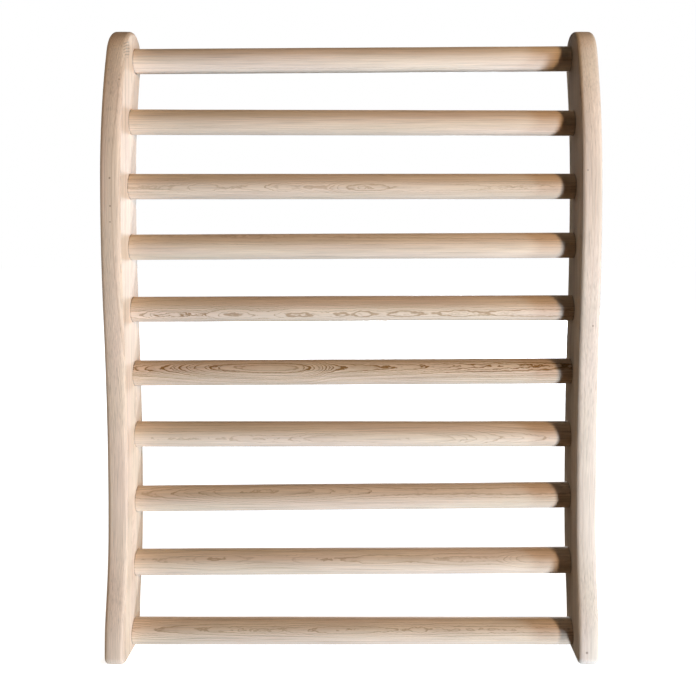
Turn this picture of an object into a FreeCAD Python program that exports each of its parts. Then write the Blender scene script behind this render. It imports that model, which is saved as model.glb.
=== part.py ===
import FreeCAD, Part
import math
import os

# Small wooden wall bars: two S-curved stiles sawn from a board, joined by ten dowel rungs.
# X runs along the rungs, +Y runs from the front edge to the back edge, +Z is up.
# The origin is on the floor, under the middle of the part.

# Overall size
height = 610.0
overall_width = 470.0

# Stiles: a board sawn to one curve on both edges, with every edge rounded over
stile_thickness = 19.0
stile_depth = 58.0
stile_swing = 25.0
edge_round = 3.5
top_front_radius = 32.0
top_back_radius = 25.0
foot_front_radius = 9.0
foot_back_radius = 12.0

# The curve of a stile's edge, seen from the side: foremost at the crest, hindmost at the
# hollow below it, plumb at the toe, and bending back again towards the top
crest_drop = 142.0
hollow_height = 128.0
toe_height = 15.0
toe_depth = 13.5
radius_above_crest = 385.0

# Two bends that swing opposite ways have radii that add up to no more than their rise and
# swing leave room for. These are the bends' shares of that: the first two leave a straight
# between them, and the hollow takes up what the toe leaves
crest_bend_share = 0.4
hollow_bend_share = 0.57
toe_bend_share = 0.37

# Rungs: plain dowels glued into stopped bores
rung_diameter = 25.0
rung_count = 10
lowest_rung_height = 17.5
highest_rung_drop = 25.5
rung_setback = 37.5
bore_depth = 12.5
glue_gap = 0.1
end_gap = 0.5
rung_end_chamfer = 1.0

# The bores are set out by hand: each lies this share of the rung's diameter above an even
# pitch, from the lowest rung to the highest
left_drift_shares = (0.0, 0.06, 0.04, 0.14, 0.1, 0.15, 0.09, -0.06, -0.05, -0.1)
right_drift_shares = (0.0, 0.14, 0.2, 0.15, 0.19, 0.21, 0.17, -0.05, -0.09, 0.02)

# Brads: one through the back edge of the stile into each end of each rung
brad_shank_diameter = 1.6
brad_head_diameter = 2.8
brad_head_thickness = 1.0
brad_length = 25.0
brad_sink = 1.0

# How far a cutting solid runs past what it cuts
overrun = 5.0

overall_depth = stile_depth + stile_swing
inside_width = overall_width - 2 * stile_thickness
crest_height = height - crest_drop
rung_pitch = (height - lowest_rung_height - highest_rung_drop) / (rung_count - 1)
across = FreeCAD.Vector(1, 0, 0)
backward = FreeCAD.Vector(0, 1, 0)


def point(x, depth, z):
    """A point at a depth measured back from the foremost point of the stiles."""
    return FreeCAD.Vector(x, depth - overall_depth / 2, z)


def arc(x, centre_depth, centre_z, radius, start, end):
    """An arc in the plane at x. Its angles are upwards from level, and a radius below zero
    puts the arc in front of its centre."""
    angles = (start, (start + end) / 2, end)
    points = [
        point(x, centre_depth + radius * math.cos(a), centre_z + abs(radius) * math.sin(a))
        for a in angles
    ]
    return Part.Arc(*points).toShape()


def radii_room(rise, swing):
    """The sum of the radii of two arcs that meet halfway and swing opposite ways."""
    return (rise ** 2 + swing ** 2) / (2 * swing)


def edge_curve(x, shift):
    """The edges along a stile's front edge in the plane at x, shifted back, foot first."""
    rise = crest_height - hollow_height
    room = radii_room(rise, stile_swing)
    radius_below_crest = crest_bend_share * room
    radius_above_hollow = hollow_bend_share * room
    crest_centre = shift + radius_below_crest
    hollow_centre = shift + stile_swing - radius_above_hollow
    apart = math.hypot(crest_centre - hollow_centre, rise)
    towards = math.atan2(rise, crest_centre - hollow_centre)
    slope = towards - math.acos((radius_below_crest + radius_above_hollow) / apart)

    toe_rise = hollow_height - toe_height
    toe_room = radii_room(toe_rise, stile_swing - toe_depth)
    toe_radius = toe_bend_share * toe_room
    radius_below_hollow = toe_room - toe_radius
    toe_slope = math.asin(toe_rise / toe_room)
    top_slope = math.asin(crest_drop / radius_above_crest)

    toe_foot = point(x, shift + toe_depth, 0)
    toe = arc(x, shift + toe_depth + toe_radius, toe_height, -toe_radius, 0, toe_slope)
    hollow_low = arc(x, shift + stile_swing - radius_below_hollow, hollow_height,
                     radius_below_hollow, -toe_slope, 0)
    hollow_high = arc(x, hollow_centre, hollow_height, radius_above_hollow, 0, slope)
    crest_low = arc(x, crest_centre, crest_height, -radius_below_crest, -slope, 0)
    crest_high = arc(x, shift + radius_above_crest, crest_height, -radius_above_crest,
                     0, top_slope)
    plumb = Part.makeLine(toe_foot, toe.Vertexes[0].Point)
    straight = Part.makeLine(hollow_high.Vertexes[-1].Point, crest_low.Vertexes[0].Point)
    return [plumb, toe, hollow_low, hollow_high, straight, crest_low, crest_high]


def front_depth(z):
    """How far the front edge lies behind the foremost point at a height."""
    level = Part.makeLine(point(0, -overrun, z), point(0, overall_depth, z))
    _, nearest, _ = Part.Wire(edge_curve(0, 0)).distToShape(level)
    return nearest[0][0].y + overall_depth / 2


def bore_centre(x, row, drift_shares):
    """The middle of a rung where it leaves the stile whose inner face is at x."""
    z = lowest_rung_height + row * rung_pitch + drift_shares[row] * rung_diameter
    return point(x, front_depth(z) + rung_setback, z)


def bore_centres(row):
    """The middles of one rung at the inner faces of the left and the right stile."""
    left = bore_centre(-inside_width / 2, row, left_drift_shares)
    right = bore_centre(inside_width / 2, row, right_drift_shares)
    return left, right


def rung_cylinder(row, radius, end_depth):
    """A cylinder on a rung's own line that runs end_depth into both stiles."""
    left, right = bore_centres(row)
    along = (right - left).normalize()
    start = left - along * end_depth
    length = (right - left).Length + 2 * end_depth
    return Part.makeCylinder(radius, length, start, along)


def brad_head_back(row, side):
    """The middle of a brad head's outer face, sunk in the back edge of a stile."""
    centre = bore_centres(row)[0 if side < 0 else 1]
    back = stile_depth - rung_setback - brad_sink
    return centre + across * side * bore_depth / 2 + backward * back


def brad(row, side):
    """One brad: a thin shank with a small flat head."""
    outer = brad_head_back(row, side)
    head = Part.makeCylinder(brad_head_diameter / 2, brad_head_thickness, outer, -backward)
    shank = Part.makeCylinder(brad_shank_diameter / 2, brad_length, outer, -backward)
    return head.fuse(shank).removeSplitter()


def brad_hole(row, side):
    """The hole that a brad leaves: the brad itself and the open sink behind its head."""
    outer = brad_head_back(row, side)
    sink = Part.makeCylinder(brad_head_diameter / 2, brad_sink + overrun, outer, backward)
    return brad(row, side).fuse(sink)


def corner_edge(solid, depth, z):
    """The edge along X that passes nearest to a depth and a height."""
    target = point(0, depth, z)

    def miss(edge):
        centre = edge.CenterOfMass
        return (centre.y - target.y) ** 2 + (centre.z - target.z) ** 2

    along_x = [edge for edge in solid.Edges if edge.BoundBox.XLength > stile_thickness / 2]
    return min(along_x, key=miss)


def stile_blank(side):
    """A stile before boring: the sawn board with its corners and edges rounded."""
    inner = side * inside_width / 2
    front = edge_curve(inner, 0)
    back = edge_curve(inner, stile_depth)
    foot = Part.makeLine(front[0].Vertexes[0].Point, back[0].Vertexes[0].Point)
    top = Part.makeLine(front[-1].Vertexes[-1].Point, back[-1].Vertexes[-1].Point)
    outline = Part.Wire(Part.__sortEdges__([foot, *back, top, *front]))
    blank = Part.Face(outline).extrude(across * side * stile_thickness)
    top_depth = top.Vertexes[0].Point.y + overall_depth / 2
    corners = (
        (toe_depth, 0, foot_front_radius),
        (toe_depth + stile_depth, 0, foot_back_radius),
        (top_depth, height, top_front_radius),
        (top_depth + stile_depth, height, top_back_radius),
    )
    for depth, z, radius in corners:
        blank = blank.makeFillet(radius, [corner_edge(blank, depth, z)])
    rims = [edge for edge in blank.Edges if edge.BoundBox.XLength < stile_thickness / 2]
    return blank.makeFillet(edge_round, rims)


def stile(side):
    """A stile with its ten stopped bores and the holes of its brads."""
    solid = stile_blank(side)
    for row in range(rung_count):
        bore = rung_cylinder(row, rung_diameter / 2 + glue_gap, bore_depth)
        solid = solid.cut(bore)
        solid = solid.cut(brad_hole(row, side))
    return solid


def rung(row):
    """A dowel rung with eased ends and the holes of its two brads."""
    dowel = rung_cylinder(row, rung_diameter / 2, bore_depth - end_gap)
    rims = [edge for edge in dowel.Edges if edge.Closed]
    dowel = dowel.makeChamfer(rung_end_chamfer, rims)
    for side in (-1, 1):
        dowel = dowel.cut(brad(row, side))
    return dowel


def brads(side):
    """The brads of one stile, as separate solids."""
    return Part.makeCompound([brad(row, side) for row in range(rung_count)])


def main():
    os.makedirs("parts", exist_ok=True)
    nodes = {
        "left_stile": stile(-1),
        "right_stile": stile(1),
        "left_brads": brads(-1),
        "right_brads": brads(1),
    }
    for row in range(rung_count):
        number = rung_count - row
        nodes[f"rung_{number:02d}"] = rung(row)
    for name, shape in nodes.items():
        shape.exportStep(f"parts/{name}.step")
        box = shape.BoundBox
        print(f"{name}: {len(shape.Solids)} solids, valid {shape.isValid()}, "
              f"{shape.Volume:.0f} mm3, X {box.XMin:.1f} to {box.XMax:.1f}, "
              f"Y {box.YMin:.1f} to {box.YMax:.1f}, Z {box.ZMin:.1f} to {box.ZMax:.1f}")


main()
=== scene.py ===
import math
import bmesh
import bpy
from mathutils import Matrix, Vector, noise


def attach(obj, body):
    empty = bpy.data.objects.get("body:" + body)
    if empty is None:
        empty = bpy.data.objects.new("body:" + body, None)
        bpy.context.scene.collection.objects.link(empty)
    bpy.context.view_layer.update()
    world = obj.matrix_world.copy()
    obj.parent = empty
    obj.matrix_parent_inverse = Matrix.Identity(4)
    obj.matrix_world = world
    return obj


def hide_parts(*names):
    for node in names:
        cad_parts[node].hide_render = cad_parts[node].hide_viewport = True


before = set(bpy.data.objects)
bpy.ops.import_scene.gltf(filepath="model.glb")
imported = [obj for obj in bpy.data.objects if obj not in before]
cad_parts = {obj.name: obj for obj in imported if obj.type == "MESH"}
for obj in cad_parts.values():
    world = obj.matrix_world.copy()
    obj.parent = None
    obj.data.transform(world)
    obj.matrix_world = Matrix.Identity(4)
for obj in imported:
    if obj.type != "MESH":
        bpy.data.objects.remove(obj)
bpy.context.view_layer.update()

scene = bpy.context.scene


# The stiles: two S-curved uprights, band-sawn from planed hemlock board, routed round on every
# edge and sanded. They are left bare. The grain runs straight up the board, so it leaves the
# curved edges at a slant, and each stile has ten stopped bores on its inner face.

def linear(hex_colour):
    """Turns an sRGB hex colour to the linear values that a shader works in."""
    shares = [int(hex_colour[i:i + 2], 16) / 255 for i in (1, 3, 5)]
    light = [s / 12.92 if s <= 0.04045 else ((s + 0.055) / 1.055) ** 2.4 for s in shares]
    return (*light, 1.0)


def add(tree, kind, settings, inputs):
    """Adds one node to a material, with its settings and its inputs.

    An input is a value, a socket to link, or a node whose first output is linked.
    """
    node = tree.nodes.new(kind)
    for name, value in settings.items():
        setattr(node, name, value)
    for name, value in inputs.items():
        if isinstance(value, bpy.types.Node):
            value = value.outputs[0]
        if isinstance(value, bpy.types.NodeSocket):
            tree.links.new(value, node.inputs[name])
        else:
            node.inputs[name].default_value = value
    return node


def stops(ramp, places):
    """Sets a ramp's grey stops: (place, brightness) pairs from left to right."""
    points = ramp.color_ramp.elements
    while len(points) < len(places):
        points.new(0.5)
    for point, (place, grey) in zip(points, places):
        point.position = place
        point.color = (grey, grey, grey, 1.0)


def hemlock(name, turn, centre, pith, ring, early, late, bold, wander=(), knots=(),
            strokes=(), joint=0.0, seed=0.0):
    """Bare sanded hemlock, worked out in the solid so that faces, edges and ends agree.

    The eye sees pale bands with thin darker edges from the yearly rings, fine streaks from the
    fibres, and darker ends because cut fibres drink the light. Rough and hardly shiny.

    All lengths are in mm. turn lays the grain along +Z, and centre is the piece's middle after
    that turn. pith is where the heart of the tree lies from it, across the grain, and wander
    lists how far it shifts at places along the grain. ring is the width of one year, early
    and late are its two colours, and bold is how strongly the rings show. knots and strokes
    are (place, size) of pin knots and of torn patches. joint is how far from the middle the
    piece enters its bore; the last millimetre before it gets painted contact shade. seed sets
    this stick apart from the others.
    """
    material = bpy.data.materials.new(name)
    material.use_nodes = True
    tree = material.node_tree
    tree.nodes.clear()
    place = add(tree, "ShaderNodeTexCoord", {}, {})
    grain = add(tree, "ShaderNodeMapping", {},
                {"Vector": place.outputs["Object"], "Scale": (1000, 1000, 1000),
                 "Rotation": turn, "Location": [-c for c in centre]})
    out_x, out_y, along = add(tree, "ShaderNodeSeparateXYZ", {}, {0: grain}).outputs

    # The heart wanders slowly along the tree, by the amounts in wander (place, shift).
    shift = pith[0]
    if wander:
        low, high = wander[0][0], wander[-1][0]
        amounts = [w for _, w in wander]
        least, most = min(amounts), max(amounts)
        share = add(tree, "ShaderNodeMapRange", {"clamp": False},
                    {"Value": along, "From Min": low, "From Max": high})
        curve = add(tree, "ShaderNodeFloatCurve", {}, {"Value": share})
        points = curve.mapping.curves[0].points
        while len(points) < len(wander):
            points.new(0.5, 0.5)
        for point, (at, amount) in zip(points, wander):
            point.location = ((at - low) / (high - low), (amount - least) / (most - least))
        curve.mapping.update()
        shift = add(tree, "ShaderNodeMath", {"operation": "MULTIPLY_ADD"},
                    {0: curve, 1: most - least, 2: least + pith[0]})

    # Lumps of noise, so many mm wide across the grain and so long along it: slow bends of the
    # rings and small ripples on them, fibres, slow clouds of tone, hairlines, and drifts of
    # hue. Fibres are finer than a pixel, so bundles of them show as streaks.
    lumps = {}
    for use, wide, long, signs, detail, roughness in (
            ("bend", 25, 160, (1, 1, 1), 1.0, 0.5),
            ("ripple", 3, 7, (1, -1, 1), 3.0, 0.5),
            ("fibre", 0.9, 50, (1, 1, -1), 3.0, 0.6),
            ("cloud", 9, 110, (-1, 1, 1), 2.0, 0.5),
            ("hairline", 1.2, 70, (1, -1, -1), 2.0, 0.5),
            ("drift", 9, 110, (-1, 1, 1), 1.0, 0.5)):
        spread = add(tree, "ShaderNodeMapping", {},
                     {"Vector": grain, "Scale": (1 / wide, 1 / wide, 1 / long),
                      "Location": [sign * seed for sign in signs]})
        lumps[use] = add(tree, "ShaderNodeTexNoise", {},
                         {"Vector": spread, "Scale": 0.7 if use == "drift" else 1.0,
                          "Detail": detail, "Roughness": roughness})

    # The rings are round the heart, give or take bends of 4 mm and ripples of 1.2 mm.
    beside = add(tree, "ShaderNodeMath", {"operation": "SUBTRACT"}, {0: out_x, 1: shift})
    beyond = add(tree, "ShaderNodeMath", {"operation": "SUBTRACT"}, {0: out_y, 1: pith[1]})
    away = add(tree, "ShaderNodeCombineXYZ", {}, {0: beside, 1: beyond})
    radius = add(tree, "ShaderNodeVectorMath", {"operation": "LENGTH"},
                 {0: away}).outputs["Value"]
    for use, size in (("bend", 4.0), ("ripple", 1.2)):
        radius = add(tree, "ShaderNodeMath", {"operation": "MULTIPLY_ADD"},
                     {0: lumps[use], 1: size, 2: radius})

    # Rings: wide pale early wood, then a thin darker edge that stops sharply. Good and lean
    # years come in runs, and make them wider or narrower, stronger or weaker.
    years = add(tree, "ShaderNodeMath", {"operation": "DIVIDE"}, {0: radius, 1: ring})
    run = add(tree, "ShaderNodeMath", {"operation": "MULTIPLY_ADD"},
              {0: years, 1: 0.37, 2: seed})
    luck = add(tree, "ShaderNodeTexNoise", {"noise_dimensions": "1D"},
               {"W": run, "Scale": 1.0, "Detail": 2.0})
    years = add(tree, "ShaderNodeMath", {"operation": "MULTIPLY_ADD"},
                {0: luck, 1: 2.2, 2: years})
    season = add(tree, "ShaderNodeMath", {"operation": "FRACT"}, {0: years})
    edge = add(tree, "ShaderNodeValToRGB", {}, {"Fac": season})
    stops(edge, ((0.0, 0.15), (0.1, 0.0), (0.5, 0.05), (0.7, 0.3), (0.84, 1.0), (0.95, 0.85),
                 (1.0, 0.15)))
    run = add(tree, "ShaderNodeMath", {"operation": "MULTIPLY_ADD"},
              {0: years, 1: 0.61, 2: seed + 9})
    strong = add(tree, "ShaderNodeTexNoise", {"noise_dimensions": "1D"},
                 {"W": run, "Scale": 1.0, "Detail": 1.0})
    strength = add(tree, "ShaderNodeMapRange", {},
                   {"Value": strong, "From Min": 0.3, "From Max": 0.7, "To Min": 0.3 * bold,
                    "To Max": bold})
    line = add(tree, "ShaderNodeMath", {"operation": "MULTIPLY"}, {0: edge, 1: strength})
    wood = add(tree, "ShaderNodeMix", {"data_type": "RGBA"},
               {0: line, 6: linear(early), 7: linear(late)})

    # Hue: slow drifts between a rosy and a straw cast.
    rosy, straw = "#fff4ec", "#fcf4e9"
    drift = add(tree, "ShaderNodeMapRange", {},
                {"Value": lumps["drift"], "From Min": 0.35, "From Max": 0.65})
    cast = add(tree, "ShaderNodeMix", {"data_type": "RGBA"},
               {0: drift, 6: linear(rosy), 7: linear(straw)})
    wood = add(tree, "ShaderNodeMix", {"data_type": "RGBA", "blend_type": "MULTIPLY"},
               {0: 1.0, 6: wood.outputs[2], 7: cast.outputs[2]})

    # Tone: up to a quarter lighter or darker for the fibres and 0.15 for the clouds, and a
    # fifth darker in sparse thin hairlines.
    tones = []
    for use, size, least in (("fibre", 0.5, 0.75), ("cloud", 0.3, 0.87)):
        tones.append(add(tree, "ShaderNodeMath", {"operation": "MULTIPLY_ADD"},
                         {0: lumps[use], 1: size, 2: least}))
    tones.append(add(tree, "ShaderNodeMapRange", {},
                     {"Value": lumps["hairline"], "From Min": 0.56, "From Max": 0.72,
                      "To Min": 1.0, "To Max": 0.8}))

    # Strokes: short dark marks where the router tore the rings, 3 mm apart up the piece and
    # slanting up towards +X and +Y. Their rows are in radians for each metre.
    stroke_rows = (-1360, -400, 2094)
    for spot, reach in strokes:
        patch = add(tree, "ShaderNodeMapping", {},
                    {"Vector": place.outputs["Object"],
                     "Location": [-s / r for s, r in zip(spot, reach)],
                     "Scale": [1000 / r for r in reach]})
        inward = add(tree, "ShaderNodeVectorMath", {"operation": "LENGTH"}, {0: patch})
        torn = add(tree, "ShaderNodeMapRange", {"interpolation_type": "SMOOTHSTEP"},
                   {"Value": inward.outputs["Value"], "From Min": 0.7, "From Max": 1.1,
                    "To Min": -0.17, "To Max": 0.0})
        rows = add(tree, "ShaderNodeVectorMath", {"operation": "DOT_PRODUCT"},
                   {0: place.outputs["Object"], 1: stroke_rows})
        wave = add(tree, "ShaderNodeMath", {"operation": "SINE"}, {0: rows.outputs["Value"]})
        wave = add(tree, "ShaderNodeMath", {"operation": "ADD"}, {0: wave, 1: 1.0})
        tones.append(add(tree, "ShaderNodeMath", {"operation": "MULTIPLY_ADD"},
                         {0: wave, 1: torn, 2: 1.0}))

    # Joint: painted contact shade, a ring up to 0.3 darker on the last millimetre before the
    # piece enters its bore, where the stile shades the rung.
    if joint:
        off = add(tree, "ShaderNodeMath", {"operation": "ABSOLUTE"}, {0: along})
        tones.append(add(tree, "ShaderNodeMapRange", {},
                         {"Value": off, "From Min": joint - 1.1, "From Max": joint - 0.3,
                          "To Min": 1.0, "To Max": 0.7}))

    # End grain: a fifth darker where the surface crosses the fibres.
    turned = add(tree, "ShaderNodeMapping", {"vector_type": "NORMAL"},
                 {"Vector": place.outputs["Normal"], "Rotation": turn})
    facing = add(tree, "ShaderNodeSeparateXYZ", {}, {0: turned})
    facing = add(tree, "ShaderNodeMath", {"operation": "ABSOLUTE"}, {0: facing.outputs[2]})
    tones.append(add(tree, "ShaderNodeMapRange", {"interpolation_type": "SMOOTHSTEP"},
                     {"Value": facing, "From Min": 0.55, "From Max": 0.95, "To Min": 1.0,
                      "To Max": 0.8}))
    tone = tones[0]
    for other in tones[1:]:
        tone = add(tree, "ShaderNodeMath", {"operation": "MULTIPLY"}, {0: tone, 1: other})
    grey = add(tree, "ShaderNodeCombineColor", {}, {0: tone, 1: tone, 2: tone})
    colour = add(tree, "ShaderNodeMix", {"data_type": "RGBA", "blend_type": "MULTIPLY"},
                 {0: 1.0, 6: wood.outputs[2], 7: grey}).outputs[2]

    # Pin knots: brown dots of 1 to 2 mm where a twig began.
    knot_brown = "#5c3a22"
    for spot, size in knots:
        reach = add(tree, "ShaderNodeVectorMath", {"operation": "DISTANCE"},
                    {0: place.outputs["Object"], 1: [s / 1000 for s in spot]})
        dot = add(tree, "ShaderNodeMapRange", {"interpolation_type": "SMOOTHSTEP"},
                  {"Value": reach.outputs["Value"], "From Min": 0.0,
                   "From Max": size / 1000, "To Min": 0.75, "To Max": 0.0})
        colour = add(tree, "ShaderNodeMix", {"data_type": "RGBA"},
                     {0: dot, 6: colour, 7: linear(knot_brown)}).outputs[2]

    # Relief: sanding leaves the fibres and the late wood a trace proud of the early wood.
    height = add(tree, "ShaderNodeMath", {"operation": "MULTIPLY"},
                 {0: lumps["fibre"], 1: 0.65})
    height = add(tree, "ShaderNodeMath", {"operation": "MULTIPLY_ADD"},
                 {0: line, 1: 0.35, 2: height})
    bump = add(tree, "ShaderNodeBump", {}, {"Height": height, "Strength": 0.25,
                                            "Distance": 0.0003})
    rough = add(tree, "ShaderNodeMath", {"operation": "MULTIPLY_ADD"},
                {0: lumps["fibre"], 1: 0.14, 2: 0.55})
    surface = add(tree, "ShaderNodeBsdfPrincipled", {},
                  {"Base Color": colour, "Roughness": rough, "Normal": bump, "IOR": 1.5,
                   "Specular IOR Level": 0.05})
    add(tree, "ShaderNodeOutputMaterial", {}, {"Surface": surface})
    return material


# Pin knots on the stiles' front edges, and torn grain at the top of the left one's inner
# round-over, placed one by one. The two boards come from different trees, with the heart on
# the outer side of each. The left board's colour is painted warmer and the right one's
# greyer: painted light for the warm fill on the left and the cool light on the right.
left_knots = (((-219.5, -30.9, 557.7), 1.5), ((-225.1, -41.5, 463.8), 1.5),
              ((-224.8, -41.0, 437.7), 1.3), ((-225.0, -40.4, 422.8), 1.1))
right_knots = (((220.8, -41.5, 471.2), 1.3), ((228.1, -30.8, 324.5), 1.3),
               ((223.1, -28.0, 14.3), 1.8))
left_strokes = (((-216.0, -17.5, 589.5), (3.0, 10.0, 10.0)),)
left_pith = (-88.0, 6.0)
right_pith = (96.0, -8.0)
# Painted light: warmer early wood on the left stile, greyer early wood on the right one.
left_early_painted_warm = "#e5d2be"
right_early_painted_cool = "#dbd3c8"
stile_late = "#b49a84"
stile_middle = 0.2255
stile_height = 610.0
stile_ring = 1.7
# A board is 19 mm thick, and 12 mm of its edge is left between the round-overs. Sanding by hand
# domes the front edge, as a curve that would fall 1.2 mm at the board's faces. A point within
# a fiftieth of a millimetre of a line is on it.
half_board = 0.0095
half_edge = 0.006
dome = 0.0012
slack = 2e-5
for side, pith, knots in ((-1, left_pith, left_knots), (1, right_pith, right_knots)):
    node = "left_stile" if side < 0 else "right_stile"
    middle = side * stile_middle
    board = bmesh.new()
    board.from_mesh(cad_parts[node].data)
    bmesh.ops.remove_doubles(board, verts=board.verts, dist=1e-6)

    def off_middle(vert):
        """How far a point lies from the middle of the board's thickness."""
        return abs(vert.co.x - middle)

    # The flat of the front edge is laid out as eight even strips.
    front = [f for f in board.faces if f.normal.y < -0.02
             and all(abs(off_middle(v) - half_edge) < slack for v in f.verts)]
    crossing = [e for e in board.edges if any(f in front for f in e.link_faces)
                and abs(e.verts[0].co.x - e.verts[1].co.x) > half_edge]
    slanting = [e for e in crossing if (e.verts[0].co - e.verts[1].co).yz.length > slack]
    level = [e for e in crossing if e not in slanting]
    bmesh.ops.dissolve_edges(board, edges=slanting)
    cut = bmesh.ops.subdivide_edges(board, edges=level, cuts=7, use_grid_fill=True)
    board.normal_update()
    strip = {g for g in cut["geom_inner"] if isinstance(g, bmesh.types.BMVert)}
    strip |= {v for e in level if e.is_valid for v in e.verts}

    # The strips and the round-overs beside them sink towards the board's faces, less where
    # the edge turns up over the top or under the foot, and not at all behind.
    domed = [v for v in board.verts
             if v in strip or half_edge - slack < off_middle(v) < half_board - slack]
    for vert in domed:
        normal = vert.normal.copy()
        facing = max(0.0, -normal.y) / max(normal.yz.length, 1e-6)
        sunk = dome * (off_middle(vert) / half_board) ** 2 * facing
        vert.co.yz -= normal.yz * sunk

    # Only the rims of the bores and of the brads' holes are sharp.
    for face in board.faces:
        face.smooth = True
    for edge in board.edges:
        edge.smooth = edge.calc_face_angle(0.0) < math.radians(40)
    mesh = bpy.data.meshes.new("sanded_" + node)
    board.to_mesh(mesh)
    board.free()
    mesh.attributes.remove(mesh.attributes["custom_normal"])

    # The board's faces and back edge are shaded flat up to where the round-overs start.
    shading = [corner.vector.copy() for corner in mesh.corner_normals]
    for face in mesh.polygons:
        sideways = abs(face.normal.x) > 0.5
        backward = abs(face.normal.x) < 0.3 and face.normal.y > 0
        for corner in face.loop_indices:
            off = off_middle(mesh.vertices[mesh.loops[corner].vertex_index])
            if sideways and off > half_board - slack:
                shading[corner] = Vector((math.copysign(1, face.normal.x), 0, 0))
            elif backward and abs(off - half_edge) < slack:
                shading[corner] = Vector((0, *shading[corner].yz)).normalized()
    mesh.normals_split_custom_set(shading)
    stile = bpy.data.objects.new("sanded_" + node, mesh)
    scene.collection.objects.link(stile)
    mesh.materials.append(hemlock(
        "bare_hemlock_" + node, turn=(0, 0, 0),
        centre=(middle * 1000, 0, stile_height / 2), pith=pith, ring=stile_ring,
        early=left_early_painted_warm if side < 0 else right_early_painted_cool, late=stile_late, bold=0.4,
        knots=knots, strokes=left_strokes if side < 0 else (), seed=3.0 + side))
    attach(stile, "root")
    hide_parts(node)


# The rungs: ten 25 mm dowels of the same bare hemlock, run through a dowel cutter and sanded.
# Each end is eased and glued 12 mm deep in its bores. Sanding by hand left them a hair
# uneven, and each was cut from another stick, so no two have the same figure.

rung_radius = 0.0125
rung_ease = 0.001
sanded_away = 0.00022
# The rungs enter their bores 216 mm from the middle. Only the rims of their ends lie beyond
# 226.5 mm.
bore_mouth = 0.216
end_rim = 0.2265
# The top rung is a paler stick than the others.
rung_early = "#dccdbb"
rung_pale = "#e4d8c9"
rung_late = "#937550"

# For each rung from the top: the angle of the heart below level, its distance, the width
# of a year's ring, how strongly the rings show and where along the rung the heart comes how
# much nearer, all in mm and degrees.
rung_figures = {
    1: (80, 70, 1.3, 0.35, ()),
    2: (-100, 62, 1.2, 0.4, ()),
    3: (5, 38, 0.9, 0.7, (
        (-220, 0), (-165, 0.5), (-142, 2), (-120, 1), (-75, 3), (-62, 3.6), (-52, 3.2),
        (-42, 4.2), (-33, 4), (-20, 5), (0, 7.4), (17, 8), (40, 7.2), (90, 6.5), (220, 6))),
    4: (120, 58, 1.3, 0.35, ()),
    5: (21, 34, 0.8, 1.0, (
        (-220, -2), (-205, -1), (-170, 1), (-150, 0.6), (-114, 2.8), (-85, 1.6), (-55, 2.7),
        (-25, 2), (-10, 2.6), (-2, 2.3), (10, 3), (28, 2.3), (49, 3.2), (75, 2.7), (103, 3.5),
        (125, 3), (150, 3.4), (220, 3))),
    6: (-32, 30, 0.8, 1.9, (
        (-220, -2), (-190, 0), (-110, 8), (-76, 9), (-45, 7), (-10, 0), (40, -1.5),
        (220, -5))),
    7: (5, 72, 1.2, 0.55, (
        (-220, 0), (-130, 0.8), (-100, 1.6), (-70, 1.2), (-30, 2.4), (0, 2.2), (40, 3),
        (80, 2.6), (150, -2), (220, -6))),
    8: (-40, 40, 1.0, 0.7, (
        (-220, 1), (-190, 2), (-150, 3.5), (-101, 5.5), (-60, 4.6), (-20, 3), (10, 1.5),
        (60, 0), (220, -1))),
    9: (-28, 40, 1.1, 0.55, (
        (-220, 0), (-160, 1), (-135, 2.2), (-105, 1.2), (-75, 0.6), (-45, 2), (0, 2.4),
        (20, 3.2), (60, 2.6), (95, 4), (140, 3.4), (175, 6), (220, 5))),
    10: (-28, 30, 1.1, 0.85, (
        (-220, 1.6), (-208, 2), (-180, 2.8), (-140, 4), (-90, 4.6), (-40, 5.8), (-8, 6.4),
        (30, 5.8), (50, 5.4), (66, 6), (85, 5.4), (220, 5))),
}
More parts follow.
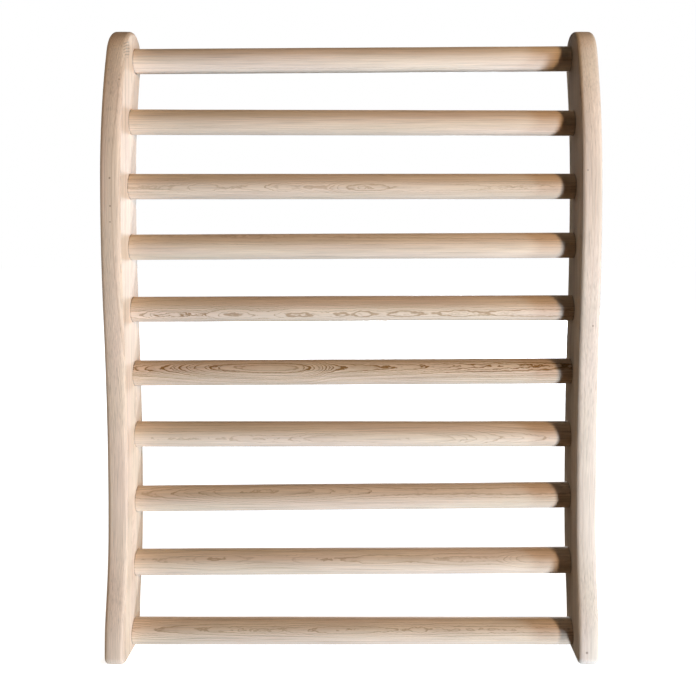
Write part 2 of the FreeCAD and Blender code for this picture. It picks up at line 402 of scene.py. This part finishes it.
for number, (below, away, ring, bold, wander) in rung_figures.items():
    node = f"rung_{number:02d}"
    corners = [v.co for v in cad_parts[node].data.vertices]
    ends = []
    for side in (-1, 1):
        rim = [c for c in corners if c.x * side > end_rim]
        ends.append(Vector((
            max(c.x * side for c in rim) * side,
            (max(c.y for c in rim) + min(c.y for c in rim)) / 2,
            (max(c.z for c in rim) + min(c.z for c in rim)) / 2)))
    axis = ends[1] - ends[0]

    dowel = bmesh.new()
    bmesh.ops.create_cone(dowel, cap_ends=True, segments=72, radius1=rung_radius,
                          radius2=rung_radius, depth=axis.length)
    rims = [e for e in dowel.edges if abs(e.verts[0].co.z - e.verts[1].co.z) < 1e-6]
    bmesh.ops.bevel(dowel, geom=rims, offset=rung_ease, offset_type="OFFSET", segments=2,
                    profile=0.5, affect="EDGES", material=-1)
    staves = [e for e in dowel.edges if abs(e.verts[0].co.z - e.verts[1].co.z) > 0.1]
    bmesh.ops.subdivide_edges(dowel, edges=staves, cuts=56, use_grid_fill=True)

    # Sanding by hand takes off up to 0.22 mm, in lumps 17 mm wide and 45 mm long.
    for vert in dowel.verts:
        if abs(vert.co.z) < axis.length / 2 - 2 * rung_ease:
            lump = noise.noise(Vector((vert.co.x * 60, vert.co.y * 60,
                                       vert.co.z * 22 + number * 7)))
            vert.co.xy *= 1 - sanded_away * (0.5 + 0.5 * lump) / rung_radius
    for face in dowel.faces:
        face.smooth = True
    aim = axis.to_track_quat("Z", "Y").to_matrix().to_4x4()
    bmesh.ops.transform(dowel, verts=dowel.verts,
                        matrix=Matrix.Translation((ends[0] + ends[1]) / 2) @ aim)
    mesh = bpy.data.meshes.new("dowel_" + node)
    dowel.to_mesh(mesh)
    dowel.free()
    rung = bpy.data.objects.new("dowel_" + node, mesh)
    scene.collection.objects.link(rung)

    # The grain is laid along the rung, with the heart of the tree rolled to its angle.
    middle = (ends[0] + ends[1]) / 2 * 1000
    roll = math.radians(90 - below)
    lay = Matrix.Rotation(-math.pi / 2, 3, "Y") @ Matrix.Rotation(roll, 3, "X")
    mesh.materials.append(hemlock(
        "bare_hemlock_" + node, turn=(roll, -math.pi / 2, 0), centre=lay @ middle,
        pith=(away, 0.0), ring=ring, early=rung_pale if number == 1 else rung_early,
        late=rung_late, bold=bold,
        wander=[(at, -nearer) for at, nearer in wander], joint=bore_mouth * 1000,
        seed=11.0 + number * 3.7))
    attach(rung, "root")
    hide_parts(node)


# The brads: ten bright wire brads through the back edge of each stile, one into each rung
# end, punched a millimetre under the surface. They are drawn steel, so the eye sees a plain
# grey gleam, with scuffs from the hammer and the punch 0.7 mm apart.

steel = bpy.data.materials.new("drawn_steel_wire")
steel.use_nodes = True
tree = steel.node_tree
tree.nodes.clear()
place = add(tree, "ShaderNodeTexCoord", {}, {})
scuffs = add(tree, "ShaderNodeTexNoise", {}, {"Vector": place.outputs["Object"],
                                             "Scale": 1500.0, "Detail": 2.0})
grey = add(tree, "ShaderNodeMix", {"data_type": "RGBA"},
           {0: scuffs, 6: linear("#8d8c8a"), 7: linear("#b5b3af")})
wear = add(tree, "ShaderNodeMapRange", {}, {"Value": scuffs, "To Min": 0.3, "To Max": 0.5})
gleam = add(tree, "ShaderNodeBsdfPrincipled", {},
            {"Base Color": grey.outputs[2], "Metallic": 1.0, "Roughness": wear})
add(tree, "ShaderNodeOutputMaterial", {}, {"Surface": gleam})
for node in ("left_brads", "right_brads"):
    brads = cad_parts[node]
    brads.data.materials.clear()
    brads.data.materials.append(steel)


# The stand: a matt white card as the floor, which the part stands on and which takes its
# shadow, and a plain white surround. Neither lights the part much.

floor = bmesh.new()
bmesh.ops.create_grid(floor, x_segments=1, y_segments=1, size=6.0)
mesh = bpy.data.meshes.new("floor")
floor.to_mesh(mesh)
floor.free()
ground = bpy.data.objects.new("floor", mesh)
scene.collection.objects.link(ground)
# The floor casts no shadow, so that the lamps below it reach the part.
ground.visible_shadow = False
card = bpy.data.materials.new("white_card")
card.use_nodes = True
tree = card.node_tree
tree.nodes.clear()
path = add(tree, "ShaderNodeLightPath", {}, {})
place = add(tree, "ShaderNodeTexCoord", {}, {})
# The card glows towards the camera, so that it meets the surround without a line. The shadow
# shows near the part, where the glow is weaker.
far = add(tree, "ShaderNodeVectorMath", {"operation": "LENGTH"},
          {0: place.outputs["Object"]})
lift = add(tree, "ShaderNodeMapRange", {}, {"Value": far.outputs["Value"],
                                            "From Min": 0.3, "From Max": 0.9,
                                            "To Min": 0.84, "To Max": 1.0})
# To the part the card is a dull grey, so that it throws little light up.
matt = add(tree, "ShaderNodeBsdfDiffuse", {}, {"Color": linear("#ffffff")})
dull = add(tree, "ShaderNodeBsdfDiffuse", {}, {"Color": linear("#6e6a64")})
glow = add(tree, "ShaderNodeEmission", {}, {"Color": linear("#ffffff"),
                                            "Strength": lift})
both = add(tree, "ShaderNodeAddShader", {}, {0: matt, 1: glow})
seen = add(tree, "ShaderNodeMixShader", {}, {0: path.outputs["Is Camera Ray"], 1: dull,
                                             2: both})
add(tree, "ShaderNodeOutputMaterial", {}, {"Surface": seen})
mesh.materials.append(card)

# The surround is white to the camera and in reflections. To the part it is a faint warm glow.
surround = bpy.data.worlds.new("surround")
scene.world = surround
surround.use_nodes = True
tree = surround.node_tree
tree.nodes.clear()
path = add(tree, "ShaderNodeLightPath", {}, {})
seen = add(tree, "ShaderNodeMath", {"operation": "MAXIMUM"},
           {0: path.outputs["Is Camera Ray"], 1: path.outputs["Is Glossy Ray"]})
seen = add(tree, "ShaderNodeMath", {"operation": "MAXIMUM"},
           {0: seen, 1: path.outputs["Is Transmission Ray"]})
dim = add(tree, "ShaderNodeBackground", {}, {"Color": linear("#ffdcb4"), "Strength": 0.02})
white = add(tree, "ShaderNodeBackground", {}, {"Color": linear("#ffffff"), "Strength": 1.0})
mixed = add(tree, "ShaderNodeMixShader", {}, {0: seen, 1: dim, 2: white})
add(tree, "ShaderNodeOutputWorld", {}, {"Surface": mixed})


# The light: soft lamps to the right of the lens, strongest and coolest from low down, and
# one further round to the right. Others behind, above and level on the left light the back,
# the tops and the left stile's outer face, and reach little that the camera sees.

def lamp(name, at, wide, tall, power, tint):
    """A soft rectangular lamp that looks at the middle of the part."""
    data = bpy.data.lights.new(name, "AREA")
    data.shape = "RECTANGLE"
    data.size, data.size_y = wide, tall
    data.energy = power
    data.color = linear(tint)[:3]
    holder = bpy.data.objects.new(name, data)
    holder.location = at
    holder.rotation_mode = "QUATERNION"
    holder.rotation_quaternion = (Vector(at) - Vector((0, 0, 0.3))).to_track_quat("Z", "Y")
    scene.collection.objects.link(holder)


lamp("low_key", (0.80, -0.95, -1.4), 0.14, 0.4, 47, "#d2e6ff")
lamp("level_key", (0.85, -1.05, -0.2), 0.14, 0.4, 5, "#cfe6ff")
lamp("high_key", (0.85, -1.05, 0.8), 0.14, 0.4, 10, "#ffd6a8")
lamp("side", (2.2, -1.2, 0.3), 0.3, 0.9, 30, "#c6e6ff")
lamp("behind", (0.34, 2.9, 0.4), 0.24, 0.8, 74, "#e6f2ff")
lamp("above", (0.0, -0.2, 2.2), 0.8, 0.8, 1.2, "#fff0d8")
lamp("left_fill", (-2.4, 0.0, 0.3), 0.04, 0.04, 15, "#fff4e6")


# The camera: level, 26 mm right of the part's middle and 0.84 m in front of it, with the lens
# shifted as in the photograph. Its focal length and the point that it looks at squarely are
# in pixels of a frame of 696 by 696.

frame_side = 696
focal_length = 852.5
square_on = (379.3, 215.2)
eye = bpy.data.cameras.new("camera")
eye.sensor_width = 36.0
eye.lens = focal_length / frame_side * eye.sensor_width
eye.shift_x = (frame_side / 2 - square_on[0]) / frame_side
eye.shift_y = (square_on[1] - frame_side / 2) / frame_side
eye.clip_start, eye.clip_end = 0.01, 50.0
camera = bpy.data.objects.new("camera", eye)
camera.location = (0.0263, -0.8358, 0.4291)
camera.rotation_euler = (math.pi / 2, 0, 0)
scene.collection.objects.link(camera)
scene.camera = camera
scene.view_settings.view_transform = "Standard"
